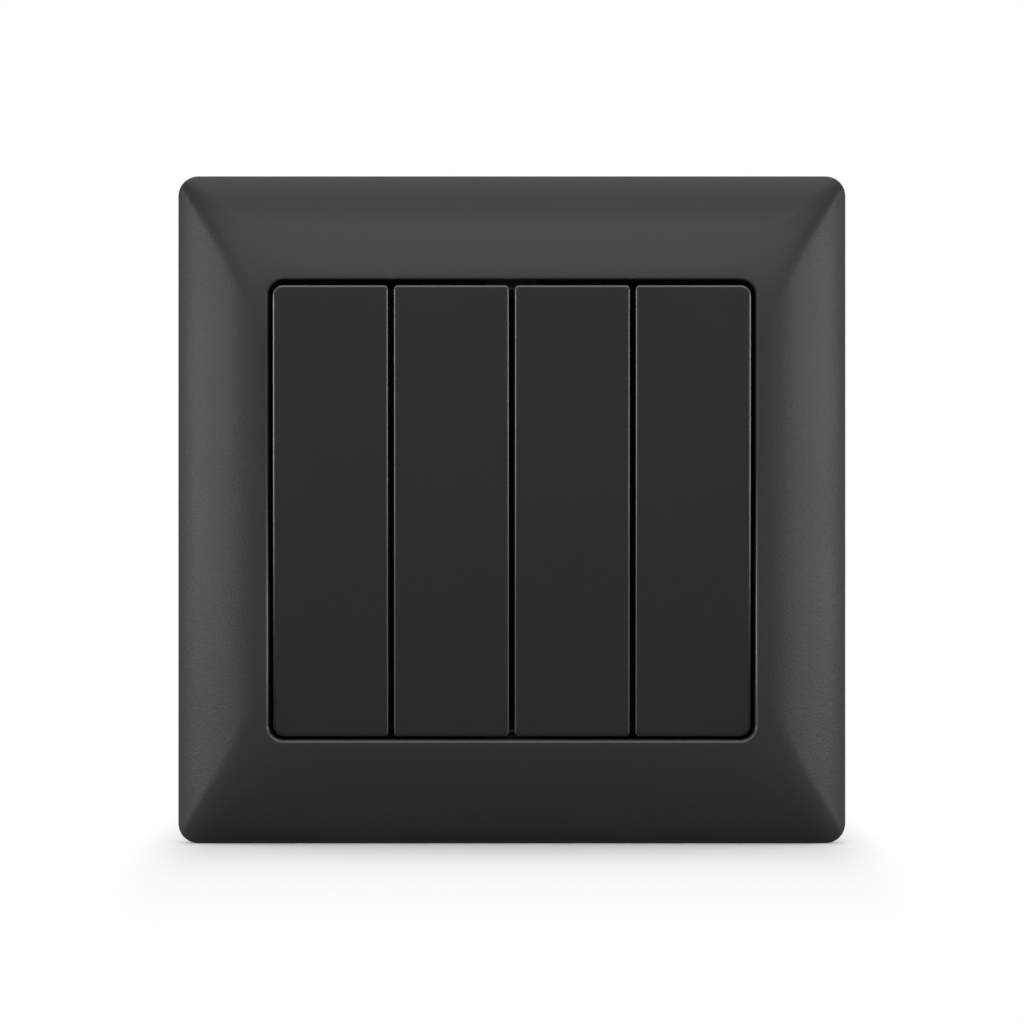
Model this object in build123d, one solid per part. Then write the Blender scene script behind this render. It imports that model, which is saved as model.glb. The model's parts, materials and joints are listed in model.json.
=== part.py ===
"""A four-gang light switch for a round flush wall box.

Frame: X to the right, Z up, Y into the wall. The wall's surface is the plane Y = 0, so everything that
shows in the room has a negative Y and everything in the wall box a positive one. The origin is the middle
of the box screws. All lengths are millimetres and all angles degrees.

Each rocker stands on its off stop, with the top of its key out and the bottom in.
"""

import math
import os

from build123d import *

# Gangs and keys
GANGS = 4
KEY_WIDTH = 14.08
KEY_HEIGHT = 55.17
KEY_GAP = 0.68  # between one key and the next
KEY_PROUD = 0.5  # key face in front of the frame's lip, at mid travel
KEY_SKIN = 1.5
KEY_WALL = 1.3
KEY_SKIRT = 2.8  # key face to the back of its side walls
KEY_EDGE_ROUND = 0.32
KEY_CROWN = 0.5  # how far the middle of the face bows out beyond its ends
KEY_OUTER_CORNER = 1.25
KEY_INNER_CORNER = 0.5
KEY_TILT = 3.0  # either side of mid travel

# Cover frame
FRAME_SIZE = 82.0
FRAME_CORNER = 2.5
FRAME_EDGE = 3.2  # height of the upright side wall
FRAME_LIP = 9.5  # height of the lip round the keys
FRAME_GAP = 0.55  # between the lip and the keys
FRAME_WALL = 1.8
FRAME_EDGE_ROUND = 0.45
FRAME_LIP_ROUND = 0.35
CROWN_STEEP = 52.0  # slope of the crowned face at the outer edge
CROWN_FLAT = 8.0  # slope at the lip
CROWN_INNER_CORNER = 8.0  # corner radius of the crowned face at the lip
SKIRT_WALL = 1.4  # wall that runs back from the lip
RIB_THICKNESS = 1.0
RIB_SPACING = 34.0
HOOK_LENGTH = 6.0
HOOK_SPACING = 32.0
HOOK_REACH = 0.9
HOOK_HEIGHT = 0.6
HOOK_SET_BACK = 0.25  # skirt's inner face to the leg of a hook
SHIELD_THICKNESS = 0.8  # tab of the skirt that hides a box screw from view

# Support plate
PLATE_REACH_SIDE = 2.9  # beyond the carrier, beside the gangs
PLATE_REACH_END = 4.5  # beyond the carrier, above and below the gangs
PLATE_CORNER = 5.0
PLATE_THICKNESS = 1.2
BEAD_WIDTH = 2.0  # pressed beads that stiffen the plate's edges
BEAD_DEPTH = 0.5
BEAD_FROM_EDGE = 1.7
BEAD_LENGTH = 40.0  # beside the gangs
BEAD_SHORT = 17.0  # above and below the gangs
BEAD_SPREAD = 34.0  # from one short bead to the next
BOX_SCREW_SPACING = 60.0
BOX_HOLE_RADIUS = 1.6
BOX_SCREW_HEAD = 5.6
BOX_SCREW_ROOM = 3.2  # height kept free for a box screw's head

# Carrier that holds the rockers
CARRIER_FLOOR = 1.8
CARRIER_RIM = 1.2
RIM_SET_BACK = 0.35  # end of a key to the rim behind it
FLANGE_REACH = 0.8  # carrier's floor beyond the frame's skirt
POST_THICKNESS = 1.2
POST_HALF = 2.4
POST_WRAP = 0.7  # how far a post reaches past the pivot, so that the pin snaps in

# Rockers, plungers and springs
ROCKER_WIDTH = 6.4
SADDLE_WIDTH = 11.0
SADDLE_HEIGHT = 24.0
SADDLE_THICKNESS = 1.6
SADDLE_TO_PIVOT = 1.0
PIVOT_RADIUS = 1.4
TOWER_HEIGHT = 5.2
TOWER_LENGTH = 9.3  # pivot to the tower's open end
TOWER_SWING = 0.8  # room for the tower to swing in, above and below it
BORE_RADIUS = 1.6
BORE_END = 1.0  # pivot to the closed end of the bore
PLUNGER_RADIUS = 1.5
PLUNGER_NOSE = 0.4  # radius of the flat end of the nose
PLUNGER_TAPER = 1.6  # length of the tapered nose
PLUNGER_PILOT_RADIUS = 0.8
PLUNGER_PILOT = 1.5
SPRING_LENGTH = 5.2
SPRING_RADIUS = 1.2  # to the middle of the wire
SPRING_WIRE = 0.36
SPRING_TURNS = 3.0
CLIP_WIDTH = 6.0
CLIP_THICKNESS = 1.2
CLIP_TOOTH = 0.6

# Contact arms
ARM_PIVOT_DEPTH = 10.5  # behind the wall's surface
ARM_TILT = 7.5  # either side of level
ARM_WIDTH = 4.0
ARM_LENGTH = 18.6
ARM_THICKNESS = 0.8
ARM_FACE = 1.2  # pivot to the face that the plunger rides on
ARM_PIN_RADIUS = 0.8
CONTACT_OFFSET = 8.0  # pivot to the middle of a contact
TIP_RADIUS = 1.3
TIP_HEIGHT = 0.7
TIP_BEVEL = 0.35
FIXED_TIP_RADIUS = 1.5

# Brass strips and terminals
EAR_HEIGHT = 2.5  # strip face to the arm's pivot
EAR_THICKNESS = 0.7
EAR_HALF = 1.6
STRIP_THICKNESS = 1.0
BUS_WIDTH = 5.0
LEG_WIDTH = 4.0
LEG_TOP = 6.0  # upper end of a load strip, below the pivot
BAR_WIDTH = 2.6
TAIL_WIDTH = 6.0
TAIL_LENGTH = 7.2
TERMINAL_PITCH = 9.2
TERMINAL_SCREW_RADIUS = 1.5
TERMINAL_SCREW_LENGTH = 6.5
TERMINAL_HEAD_RADIUS = 2.6
TERMINAL_HEAD_HEIGHT = 1.9
TERMINAL_INSET = 4.0  # inner wall of a terminal pocket to the screw
CLAMP_SIZE = 6.2
CLAMP_THICKNESS = 0.9
CLAMP_OPEN = 1.6  # room for a wire under the clamp
DRIVE_WIDTH = 0.8
DRIVE_DEPTH = 0.9

# Base and lid
LID_THICKNESS = 1.0
BASE_WALL = 1.4
BASE_FLOOR = 2.0
BASE_CORNER = 13.0
CHAMBER_WIDTH = 6.6
CHAMBER_HEIGHT = 20.4
POCKET_WIDTH = 7.0
POCKET_LENGTH = 9.4
BARRIER_HEIGHT = 6.0  # strip's back face to the end of the terminal barriers
POCKET_FLOOR = 1.5
STOP_WIDTH = 1.0
WINDOW_CORNER = 1.3

# Screws that hold carrier, plate, lid and base together
ASSEMBLY_RADIUS = 1.0
ASSEMBLY_LENGTH = 8.0  # depth in the base
ASSEMBLY_HEAD_RADIUS = 2.2
ASSEMBLY_HEAD_HEIGHT = 1.2
ASSEMBLY_FROM_SIDE = 5.8
ASSEMBLY_FROM_END = 6.5

# Clearances
RUN = 0.05  # round pieces that turn or slide in a hole
PLAY = 0.2  # beside pieces that move past each other
SEAT = 0.15  # round pieces that are dropped into a recess
STOP = 0.06  # left open where a moving piece meets its stop

# Places that follow from the sizes
PITCH = KEY_WIDTH + KEY_GAP
GANG_X = [(i - (GANGS - 1) / 2) * PITCH for i in range(GANGS)]
OPENING_WIDTH = GANGS * PITCH - KEY_GAP + 2 * FRAME_GAP
OPENING_HEIGHT = KEY_HEIGHT + 2 * FRAME_GAP
OPENING_CORNER = KEY_OUTER_CORNER + FRAME_GAP

KEY_FACE_Y = -FRAME_LIP - KEY_PROUD
KEY_BACK_Y = KEY_FACE_Y + KEY_SKIRT
SADDLE_FRONT_Y = KEY_FACE_Y + KEY_SKIN + STOP
SADDLE_BACK_Y = SADDLE_FRONT_Y + SADDLE_THICKNESS
PIVOT_Y = SADDLE_BACK_Y + SADDLE_TO_PIVOT
PLATE_FRONT_Y = -PLATE_THICKNESS
CARRIER_FRONT_Y = PLATE_FRONT_Y - CARRIER_FLOOR
CARRIER_BORDER = SKIRT_WALL + FLANGE_REACH
CARRIER_WIDTH = OPENING_WIDTH + 2 * CARRIER_BORDER
CARRIER_HEIGHT = OPENING_HEIGHT + 2 * CARRIER_BORDER
PLATE_WIDTH = CARRIER_WIDTH + 2 * PLATE_REACH_SIDE
PLATE_HEIGHT = CARRIER_HEIGHT + 2 * PLATE_REACH_END
SKIRT_BACK_Y = CARRIER_FRONT_Y - PLAY
HOOK_BACK_Y = PLATE_FRONT_Y - PLAY
HOOK_FRONT_Y = HOOK_BACK_Y - HOOK_HEIGHT
KEY_END_DROP = KEY_HEIGHT / 2 * math.sin(math.radians(KEY_TILT))
RIM_FRONT_Y = KEY_BACK_Y + KEY_END_DROP + PLAY

STRIP_FRONT_Y = ARM_PIVOT_DEPTH + EAR_HEIGHT
STRIP_BACK_Y = STRIP_FRONT_Y + STRIP_THICKNESS
BASE_MIDDLE_Y = STRIP_BACK_Y + BASE_FLOOR
BASE_BACK_Y = STRIP_BACK_Y + BARRIER_HEIGHT
CLAMP_FRONT_Y = STRIP_BACK_Y + CLAMP_OPEN
CLAMP_BACK_Y = CLAMP_FRONT_Y + CLAMP_THICKNESS
POCKET_Z = CHAMBER_HEIGHT / 2 + BASE_WALL
TERMINAL_Z = POCKET_Z + TERMINAL_INSET
BASE_WIDTH = 2 * (GANG_X[-1] + CHAMBER_WIDTH / 2 + BASE_WALL)
BASE_HEIGHT = 2 * (POCKET_Z + POCKET_LENGTH)
TERMINAL_X = [(i - (GANGS - 1) / 2) * TERMINAL_PITCH for i in range(GANGS)]
COMMON_X = [-TERMINAL_PITCH / 2, TERMINAL_PITCH / 2]
TERMINALS = [(x, -TERMINAL_Z) for x in TERMINAL_X] + [(x, TERMINAL_Z) for x in COMMON_X]
ASSEMBLY_X = BASE_WIDTH / 2 - ASSEMBLY_FROM_SIDE
ASSEMBLY_Z = BASE_HEIGHT / 2 - ASSEMBLY_FROM_END
ASSEMBLY_PLACES = [(-ASSEMBLY_X, ASSEMBLY_Z), (ASSEMBLY_X, -ASSEMBLY_Z)]
BOX_PLACES = [(0, -BOX_SCREW_SPACING / 2), (0, BOX_SCREW_SPACING / 2)]
WINDOW_HEIGHT = TOWER_HEIGHT + 2 * TOWER_SWING


def slab(sketch, front, back):
    """A sketch in X and Z made solid from Y = front to Y = back."""
    return extrude(Plane.XZ.offset(-back) * sketch, amount=back - front)


def block(x, z, width, height, front, back):
    """A plain block centred at x, z."""
    return slab(Pos(x, z) * Rectangle(width, height), front, back)


def disc(x, z, radius, front, back):
    """A round pin or hole along Y."""
    return slab(Pos(x, z) * Circle(radius), front, back)


def rod(x, y, radius, length):
    """A round pin or hole along X, centred at x."""
    return extrude(Plane.YZ.offset(x - length / 2) * Pos(y, 0) * Circle(radius), amount=length)


def round_holes(places, radius, front, back):
    """Round pins or holes along Y at each of the places."""
    holes = disc(*places[0], radius, front, back)
    for x, z in places[1:]:
        holes += disc(x, z, radius, front, back)
    return holes


def tilt(shape, y, angle):
    """The shape turned about the line along X through Y = y, Z = 0."""
    return shape.rotate(Axis((0, y, 0), (1, 0, 0)), angle)


def crown_point(u):
    """Share of the crown's rise at share u of its width, on an arc from the steep slope to the flat one."""
    steep, flat = math.radians(CROWN_STEEP), math.radians(CROWN_FLAT)
    slope = math.asin(math.sin(steep) - u * (math.sin(steep) - math.sin(flat)))
    return (math.cos(slope) - math.cos(steep)) / (math.cos(flat) - math.cos(steep))


def crown(inset, steps, ruled):
    """The crowned block of the frame, with every face moved in by inset, smooth or in straight steps."""
    sections = []
    for i in range(steps + 1):
        u = i / steps
        width = FRAME_SIZE + u * (OPENING_WIDTH - FRAME_SIZE) - 2 * inset
        height = FRAME_SIZE + u * (OPENING_HEIGHT - FRAME_SIZE) - 2 * inset
        corner = FRAME_CORNER + u * (CROWN_INNER_CORNER - FRAME_CORNER)
        rise = FRAME_EDGE + crown_point(u) * (FRAME_LIP - FRAME_EDGE) - inset
        sections.append(Plane.XZ.offset(rise) * RectangleRounded(width, height, corner))
    size = FRAME_SIZE - 2 * inset
    wall = slab(RectangleRounded(size, size, FRAME_CORNER), inset - FRAME_EDGE, 0)
    return wall + loft(sections, ruled=ruled)


def opening_tool():
    """What is cut away round the keys: the opening, flared so that it leaves a rounded lip."""
    opening = RectangleRounded(OPENING_WIDTH, OPENING_HEIGHT, OPENING_CORNER)
    wide = 4 * FRAME_LIP_ROUND
    flare = RectangleRounded(OPENING_WIDTH + wide, OPENING_HEIGHT + wide, OPENING_CORNER + wide / 2)
    tool = slab(opening, -FRAME_LIP, 0) + slab(flare, -FRAME_LIP - KEY_PROUD, -FRAME_LIP)
    step = tool.faces().filter_by(Axis.Y).sort_by(Axis.Y)[1]
    return fillet(step.inner_wires()[0].edges(), FRAME_LIP_ROUND)


def box_screw_room(front, back):
    """Room round the heads of the two box screws."""
    room = None
    for x, z in BOX_PLACES:
        head = block(x, z, BOX_SCREW_HEAD + 2 * PLAY, BOX_SCREW_HEAD + 2 * PLAY, front, back)
        room = head if room is None else room + head
    return room


def make_cover_frame():
    """The crowned frame: a shell with a skirt round the keys, ribs, and hooks that grip the carrier."""
    shell = crown(0, 5, False)
    outer_edge = [
        e for e in shell.edges()
        if abs(e.center().Y + FRAME_EDGE) < 1e-3 and e.bounding_box().size.Y < 1e-3
    ]
    shell = fillet(outer_edge, FRAME_EDGE_ROUND)
    skirt = RectangleRounded(
        OPENING_WIDTH + 2 * SKIRT_WALL, OPENING_HEIGHT + 2 * SKIRT_WALL, OPENING_CORNER + SKIRT_WALL
    )
    hollow = crown(FRAME_WALL, 2, True)
    frame = shell - hollow + slab(skirt, -FRAME_LIP, SKIRT_BACK_Y) & shell
    ribs = None
    for x in (-RIB_SPACING / 2, RIB_SPACING / 2):
        pair = block(x, 0, RIB_THICKNESS, FRAME_SIZE, -FRAME_LIP, SKIRT_BACK_Y)
        pair += block(0, x, FRAME_SIZE, RIB_THICKNESS, -FRAME_LIP, SKIRT_BACK_Y)
        ribs = pair if ribs is None else ribs + pair
    frame = frame + (ribs & hollow)
    frame -= opening_tool()
    leg = SKIRT_WALL - HOOK_SET_BACK
    tooth = SKIRT_WALL + HOOK_REACH
    for side in (-1, 1):
        leg_x = side * (OPENING_WIDTH / 2 + SKIRT_WALL - leg / 2)
        tooth_x = side * (OPENING_WIDTH / 2 + SKIRT_WALL - tooth / 2)
        for z in (-HOOK_SPACING / 2, HOOK_SPACING / 2):
            frame += block(leg_x, z, leg, HOOK_LENGTH, SKIRT_BACK_Y - SKIRT_WALL, HOOK_BACK_Y)
            frame += block(tooth_x, z, tooth, HOOK_LENGTH, HOOK_FRONT_Y, HOOK_BACK_Y)
    shield = SKIRT_WALL + FRAME_GAP + RIM_SET_BACK - PLAY
    shield_front = RIM_FRONT_Y + SEAT
    for x, z in BOX_PLACES:
        shield_z = math.copysign(OPENING_HEIGHT / 2 + SKIRT_WALL - shield / 2, z)
        shield_width = BOX_SCREW_HEAD + 6 * PLAY
        frame += block(x, shield_z, shield_width, shield, shield_front, shield_front + SHIELD_THICKNESS)
    return frame - box_screw_room(PLATE_FRONT_Y - BOX_SCREW_ROOM, 0)


def make_support_plate():
    """The steel plate that is screwed to the wall box."""
    plate = slab(RectangleRounded(PLATE_WIDTH, PLATE_HEIGHT, PLATE_CORNER), PLATE_FRONT_Y, 0)
    bead_x, bead_z = PLATE_WIDTH / 2 - BEAD_FROM_EDGE, PLATE_HEIGHT / 2 - BEAD_FROM_EDGE
    for side in (-1, 1):
        beads = Pos(side * bead_x, 0) * SlotOverall(BEAD_LENGTH, BEAD_WIDTH, 90)
        for x in (-BEAD_SPREAD / 2, BEAD_SPREAD / 2):
            beads += Pos(x, side * bead_z) * SlotOverall(BEAD_SHORT, BEAD_WIDTH)
        plate += slab(beads, PLATE_FRONT_Y - BEAD_DEPTH, PLATE_FRONT_Y)
        plate -= slab(offset(beads, -BEAD_DEPTH / 2), -BEAD_DEPTH, 0)
    window_width = GANG_X[-1] - GANG_X[0] + ROCKER_WIDTH + 2 * PLAY
    plate -= slab(RectangleRounded(window_width, WINDOW_HEIGHT, WINDOW_CORNER), PLATE_FRONT_Y, 0)
    plate -= round_holes(BOX_PLACES, BOX_HOLE_RADIUS, PLATE_FRONT_Y, 0)
    return plate - round_holes(ASSEMBLY_PLACES, ASSEMBLY_RADIUS + SEAT, PLATE_FRONT_Y, 0)


def make_carrier():
    """The tray in front of the plate, with two posts for each rocker."""
    outline = RectangleRounded(CARRIER_WIDTH, CARRIER_HEIGHT, OPENING_CORNER + CARRIER_BORDER)
    tray = slab(outline, CARRIER_FRONT_Y, PLATE_FRONT_Y)
    rim_width = OPENING_WIDTH - 2 * FRAME_GAP - 2 * RIM_SET_BACK
    rim_z = KEY_HEIGHT / 2 - RIM_SET_BACK - CARRIER_RIM / 2
    for z in (-rim_z, rim_z):
        tray += block(0, z, rim_width, CARRIER_RIM, RIM_FRONT_Y, PLATE_FRONT_Y)
    post_front = PIVOT_Y - POST_WRAP
    for x in GANG_X:
        tray -= block(x, 0, ROCKER_WIDTH + 2 * PLAY, WINDOW_HEIGHT, CARRIER_FRONT_Y, PLATE_FRONT_Y)
        for side in (-1, 1):
            post_x = x + side * (ROCKER_WIDTH + 2 * PLAY + POST_THICKNESS) / 2
            tray += block(post_x, 0, POST_THICKNESS, 2 * POST_HALF, post_front, PLATE_FRONT_Y)
            tray -= rod(post_x, PIVOT_Y, PIVOT_RADIUS + RUN, POST_THICKNESS + RUN)
    head_back = CARRIER_FRONT_Y + ASSEMBLY_HEAD_HEIGHT
    tray -= round_holes(ASSEMBLY_PLACES, ASSEMBLY_RADIUS + SEAT, CARRIER_FRONT_Y, PLATE_FRONT_Y)
    tray -= round_holes(ASSEMBLY_PLACES, ASSEMBLY_HEAD_RADIUS + SEAT, CARRIER_FRONT_Y, head_back)
    edge_x = CARRIER_WIDTH / 2
    slot = edge_x - OPENING_WIDTH / 2 - HOOK_SET_BACK + SEAT
    pocket = edge_x - OPENING_WIDTH / 2 + HOOK_REACH + PLAY
    slot_length = HOOK_LENGTH + 2 * PLAY
    for side in (-1, 1):
        for z in (-HOOK_SPACING / 2, HOOK_SPACING / 2):
            tray -= block(side * (edge_x - slot / 2), z, slot, slot_length, CARRIER_FRONT_Y, PLATE_FRONT_Y)
            pocket_x = side * (edge_x - pocket / 2)
            tray -= block(pocket_x, z, pocket, slot_length, HOOK_FRONT_Y - SEAT, PLATE_FRONT_Y)
    return tray - box_screw_room(RIM_FRONT_Y, PLATE_FRONT_Y)


def make_key(index):
    """One key: a hollow cap with a crowned face and two clips that grip the rocker's saddle."""
    x = GANG_X[index]
    end_y, end_z = KEY_FACE_Y + KEY_CROWN, KEY_HEIGHT / 2
    side_view = ThreePointArc((end_y, -end_z), (KEY_FACE_Y, 0), (end_y, end_z))
    side_view += Polyline((end_y, end_z), (KEY_BACK_Y, end_z), (KEY_BACK_Y, -end_z), (end_y, -end_z))
    cap = extrude(Plane.YZ.offset(x - KEY_WIDTH / 2) * make_face(side_view), amount=KEY_WIDTH)
    for side, last in ((-1, 0), (1, GANGS - 1)):
        corner = KEY_OUTER_CORNER if index == last else KEY_INNER_CORNER
        upright = cap.edges().filter_by(Axis.Y).group_by(Axis.X)
        cap = fillet(upright[0 if side < 0 else -1], corner)
    face = cap.faces().sort_by(Axis.Y)[0]
    cap = fillet(face.edges(), KEY_EDGE_ROUND)
    skin_y = KEY_FACE_Y + KEY_SKIN
    cap -= block(x, 0, KEY_WIDTH - 2 * KEY_WALL, KEY_HEIGHT - 2 * KEY_WALL, skin_y, KEY_BACK_Y)
    for end in (-1, 1):
        clip_z = end * (SADDLE_HEIGHT / 2 + STOP + CLIP_THICKNESS / 2)
        tooth_z = end * (SADDLE_HEIGHT / 2 + STOP - CLIP_TOOTH / 2)
        clip_back = SADDLE_BACK_Y + STOP + CLIP_TOOTH
        cap += block(x, clip_z, CLIP_WIDTH, CLIP_THICKNESS, skin_y, clip_back)
        cap += block(x, tooth_z, CLIP_WIDTH, CLIP_TOOTH, SADDLE_BACK_Y + STOP, clip_back)
    return tilt(cap, PIVOT_Y, KEY_TILT)


def make_rocker(index):
    """One rocker: saddle for the key, pivot pins, and a square tower bored for the plunger."""
    x = GANG_X[index]
    rocker = block(x, 0, SADDLE_WIDTH, SADDLE_HEIGHT, SADDLE_FRONT_Y, SADDLE_BACK_Y)
    tower_back = PIVOT_Y + TOWER_LENGTH
    rocker += block(x, 0, ROCKER_WIDTH, TOWER_HEIGHT, SADDLE_FRONT_Y, PIVOT_Y + PIVOT_RADIUS)
    rocker += block(x, 0, TOWER_HEIGHT, TOWER_HEIGHT, SADDLE_FRONT_Y, tower_back)
    rocker += rod(x, PIVOT_Y, PIVOT_RADIUS, ROCKER_WIDTH + 2 * (PLAY + POST_THICKNESS))
    rocker -= disc(x, 0, BORE_RADIUS, PIVOT_Y + BORE_END, tower_back)
    return tilt(rocker, PIVOT_Y, KEY_TILT)


def make_plunger(index):
    """The pin that presses on the contact arm, with a tapered nose and a pilot inside the spring."""
    nose_y = ARM_PIVOT_DEPTH - ARM_FACE - 2 * STOP
    shoulder_y = PIVOT_Y + BORE_END + SPRING_LENGTH
    pilot_y = shoulder_y - PLUNGER_PILOT
    outline = Polyline(
        (0, nose_y),
        (0, pilot_y),
        (PLUNGER_PILOT_RADIUS, pilot_y),
        (PLUNGER_PILOT_RADIUS, shoulder_y),
        (PLUNGER_RADIUS, shoulder_y),
        (PLUNGER_RADIUS, nose_y - PLUNGER_TAPER),
        (PLUNGER_NOSE, nose_y),
        close=True,
    )
    pin = revolve(make_face(outline), Axis.Y)
    return tilt(Pos(GANG_X[index], 0, 0) * pin, PIVOT_Y, KEY_TILT)


def make_spring(index):
    """The plunger's coil spring, from the end of the bore to the plunger's shoulder."""
    pitch = (SPRING_LENGTH - SPRING_WIRE - 2 * RUN) / SPRING_TURNS
    path = Helix(pitch, pitch * SPRING_TURNS, SPRING_RADIUS)
    start = Plane(origin=path @ 0, z_dir=path % 0, x_dir=(0, 0, 1))
    coil = sweep(start * Rectangle(SPRING_WIRE, SPRING_WIRE), path, is_frenet=True)
    first_turn_y = PIVOT_Y + BORE_END + RUN + SPRING_WIRE / 2
    coil = Pos(GANG_X[index], first_turn_y, 0) * Rot(-90, 0, 0) * coil
    return tilt(coil, PIVOT_Y, KEY_TILT)


def make_contact_arm(index):
    """The brass arm that rocks on its pin, shown level and then turned to the off stop."""
    x = GANG_X[index]
    face_y = ARM_PIVOT_DEPTH - ARM_FACE
    arm = block(x, 0, ARM_WIDTH, ARM_LENGTH, face_y, face_y + ARM_THICKNESS)
    arm += rod(x, ARM_PIVOT_DEPTH, ARM_PIN_RADIUS, ARM_WIDTH + 2 * (PLAY + EAR_THICKNESS))
    return tilt(arm, ARM_PIVOT_DEPTH, -ARM_TILT)


def make_contact_tip(index):
    """The silver contact on the back of the arm's lower end."""
    back_y = ARM_PIVOT_DEPTH - ARM_FACE + ARM_THICKNESS
    tip = disc(GANG_X[index], -CONTACT_OFFSET, TIP_RADIUS, back_y, back_y + TIP_HEIGHT)
    tip = chamfer(tip.edges().group_by(Axis.Y)[-1], TIP_BEVEL)
    return tilt(tip, ARM_PIVOT_DEPTH, -ARM_TILT)


def closed_depth(offset, behind):
    """Depth that a point of the arm reaches at the end of its travel."""
    angle = math.radians(ARM_TILT)
    return ARM_PIVOT_DEPTH + behind * math.cos(angle) + offset * math.sin(angle)


def make_fixed_contacts():
    """The four silver contacts on the load strips."""
    tip_back = ARM_THICKNESS + TIP_HEIGHT - ARM_FACE
    front = closed_depth(CONTACT_OFFSET + TIP_RADIUS - TIP_BEVEL, tip_back) + STOP
    return [disc(x, -CONTACT_OFFSET, FIXED_TIP_RADIUS, front, STRIP_FRONT_Y) for x in GANG_X]


def strip_tail(x, side):
    """Outline of a strip's end in a terminal pocket, on the upper (1) or lower (-1) side."""
    return Pos(x, side * (POCKET_Z + TAIL_LENGTH / 2)) * Rectangle(TAIL_WIDTH, TAIL_LENGTH)


def load_outline(index):
    """Outline of one load strip: a leg under the contact, a cross bar and the tail in its pocket."""
    gang_x, terminal_x = GANG_X[index], TERMINAL_X[index]
    leg_end = POCKET_Z + BAR_WIDTH
    leg = Pos(gang_x, -(LEG_TOP + leg_end) / 2) * Rectangle(LEG_WIDTH, leg_end - LEG_TOP)
    left = min(gang_x - LEG_WIDTH / 2, terminal_x - TAIL_WIDTH / 2)
    right = max(gang_x + LEG_WIDTH / 2, terminal_x + TAIL_WIDTH / 2)
    bar = Pos((left + right) / 2, -(POCKET_Z + BAR_WIDTH / 2)) * Rectangle(right - left, BAR_WIDTH)
    return leg + bar + strip_tail(terminal_x, -1)


def bus_outline():
    """Outline of the common strip: a bus under all the arms, a stem, and two tails."""
    bus = Rectangle(GANG_X[-1] - GANG_X[0] + ARM_WIDTH + 2 * (PLAY + EAR_THICKNESS), BUS_WIDTH)
    stem = Pos(0, (POCKET_Z + BAR_WIDTH) / 2) * Rectangle(BUS_WIDTH, POCKET_Z + BAR_WIDTH)
    bar_width = COMMON_X[-1] - COMMON_X[0] + TAIL_WIDTH
    bar = Pos(0, POCKET_Z + BAR_WIDTH / 2) * Rectangle(bar_width, BAR_WIDTH)
    outline = bus + stem + bar
    for x in COMMON_X:
        outline += strip_tail(x, 1)
    return outline


def make_load_strip(index):
    """One flat brass strip from the fixed contact to its terminal."""
    strip = slab(load_outline(index), STRIP_FRONT_Y, STRIP_BACK_Y)
    place = [(TERMINAL_X[index], -TERMINAL_Z)]
    return strip - round_holes(place, TERMINAL_SCREW_RADIUS + RUN, STRIP_FRONT_Y, STRIP_BACK_Y)


def make_common_bus():
    """The common strip, with two notched ears for each contact arm's pin."""
    bus = slab(bus_outline(), STRIP_FRONT_Y, STRIP_BACK_Y)
    for x in GANG_X:
        for side in (-1, 1):
            ear_x = x + side * (ARM_WIDTH / 2 + PLAY + EAR_THICKNESS / 2)
            notch = ARM_PIN_RADIUS + RUN
            ear_top = ARM_PIVOT_DEPTH - ARM_PIN_RADIUS
            bus += block(ear_x, 0, EAR_THICKNESS, 2 * EAR_HALF, ear_top, STRIP_FRONT_Y)
            bus -= rod(ear_x, ARM_PIVOT_DEPTH, notch, EAR_THICKNESS)
            bus -= block(ear_x, 0, EAR_THICKNESS, 2 * notch, ear_top, ARM_PIVOT_DEPTH)
    places = [(x, TERMINAL_Z) for x in COMMON_X]
    return bus - round_holes(places, TERMINAL_SCREW_RADIUS + RUN, STRIP_FRONT_Y, STRIP_BACK_Y)


def make_terminal_clamps():
    """The square clamp plates under the terminal screws."""
    clamps = []
    for x, z in TERMINALS:
        clamp = block(x, z, CLAMP_SIZE, CLAMP_SIZE, CLAMP_FRONT_Y, CLAMP_BACK_Y)
        clamps.append(clamp - disc(x, z, TERMINAL_SCREW_RADIUS + RUN, CLAMP_FRONT_Y, CLAMP_BACK_Y))
    return clamps


def make_terminal_screws():
    """The slotted terminal screws, with their heads to the back."""
    screws = []
    for x, z in TERMINALS:
        head_back = CLAMP_BACK_Y + TERMINAL_HEAD_HEIGHT
        screw = disc(x, z, TERMINAL_SCREW_RADIUS, CLAMP_BACK_Y - TERMINAL_SCREW_LENGTH, CLAMP_BACK_Y)
        screw += disc(x, z, TERMINAL_HEAD_RADIUS, CLAMP_BACK_Y, head_back)
        screw -= block(x, z, 2 * TERMINAL_HEAD_RADIUS, DRIVE_WIDTH, head_back - DRIVE_DEPTH, head_back)
        screws.append(screw)
    return screws


def base_outline():
    """Outline of the part that goes into the wall box."""
    return RectangleRounded(BASE_WIDTH, BASE_HEIGHT, BASE_CORNER)


def make_inner_lid():
    """The thin lid that closes the contact chambers, with a slot for each rocker's tower."""
    lid = slab(base_outline(), 0, LID_THICKNESS)
    for x in GANG_X:
        lid -= block(x, 0, TOWER_HEIGHT + 2 * PLAY, WINDOW_HEIGHT, 0, LID_THICKNESS)
    return lid - round_holes(ASSEMBLY_PLACES, ASSEMBLY_RADIUS + SEAT, 0, LID_THICKNESS)


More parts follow.
